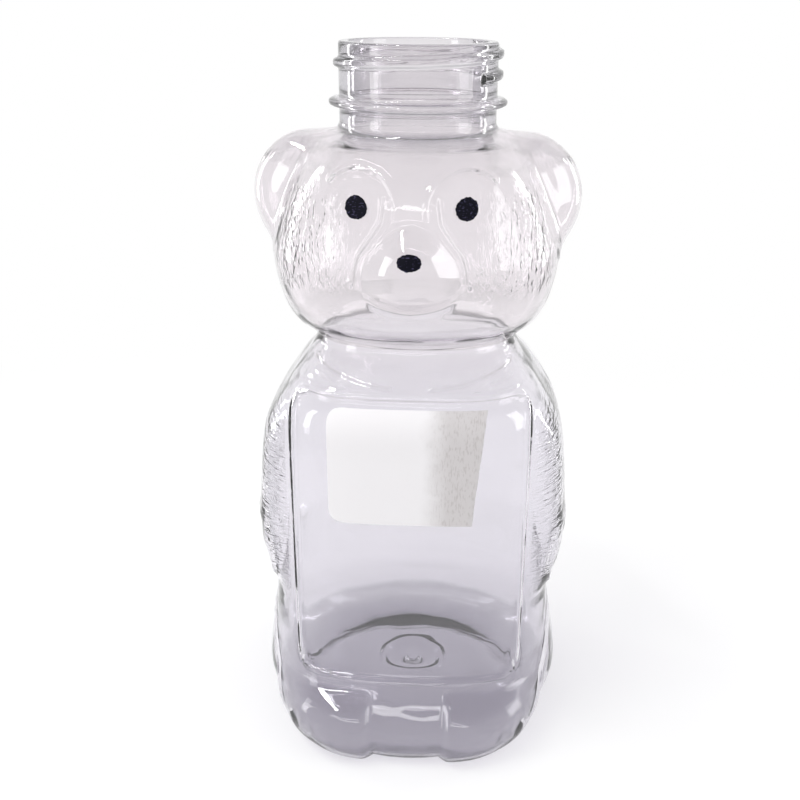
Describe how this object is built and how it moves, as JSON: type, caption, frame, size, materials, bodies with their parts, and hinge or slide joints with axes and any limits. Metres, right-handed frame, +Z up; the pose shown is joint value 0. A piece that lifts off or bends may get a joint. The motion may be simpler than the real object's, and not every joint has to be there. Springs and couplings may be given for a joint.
{
  "type": "honey bear bottle",
  "caption": "Clear squeeze bottle shaped as a sitting bear, with a threaded neck, printed face and a blank paper label on its front panel.",
  "frame": {"origin": "middle of the standing base, on the surface that the bottle stands on", "axes": "+Z up along the neck, -Y towards the bear's face and label, +X to the bear's left"},
  "size_m": [0.0764, 0.0768, 0.1645],
  "materials": {
    "clear_pet": "clear, glossy, faintly lilac, stretch blow-moulded",
    "printed_ink": "blue-black pad-printed ink, mottled",
    "label_paper": "plain matt paper, fibrous",
    "label_adhesive": "thin film of pressure-sensitive adhesive"
  },
  "bodies": {
    "root": {"shell": "clear_pet", "neck_finish": "clear_pet", "left_eye": "printed_ink", "right_eye": "printed_ink", "nose": "printed_ink", "paper_label": "label_paper", "label_adhesive": "label_adhesive"}
  },
  "joints": []
}
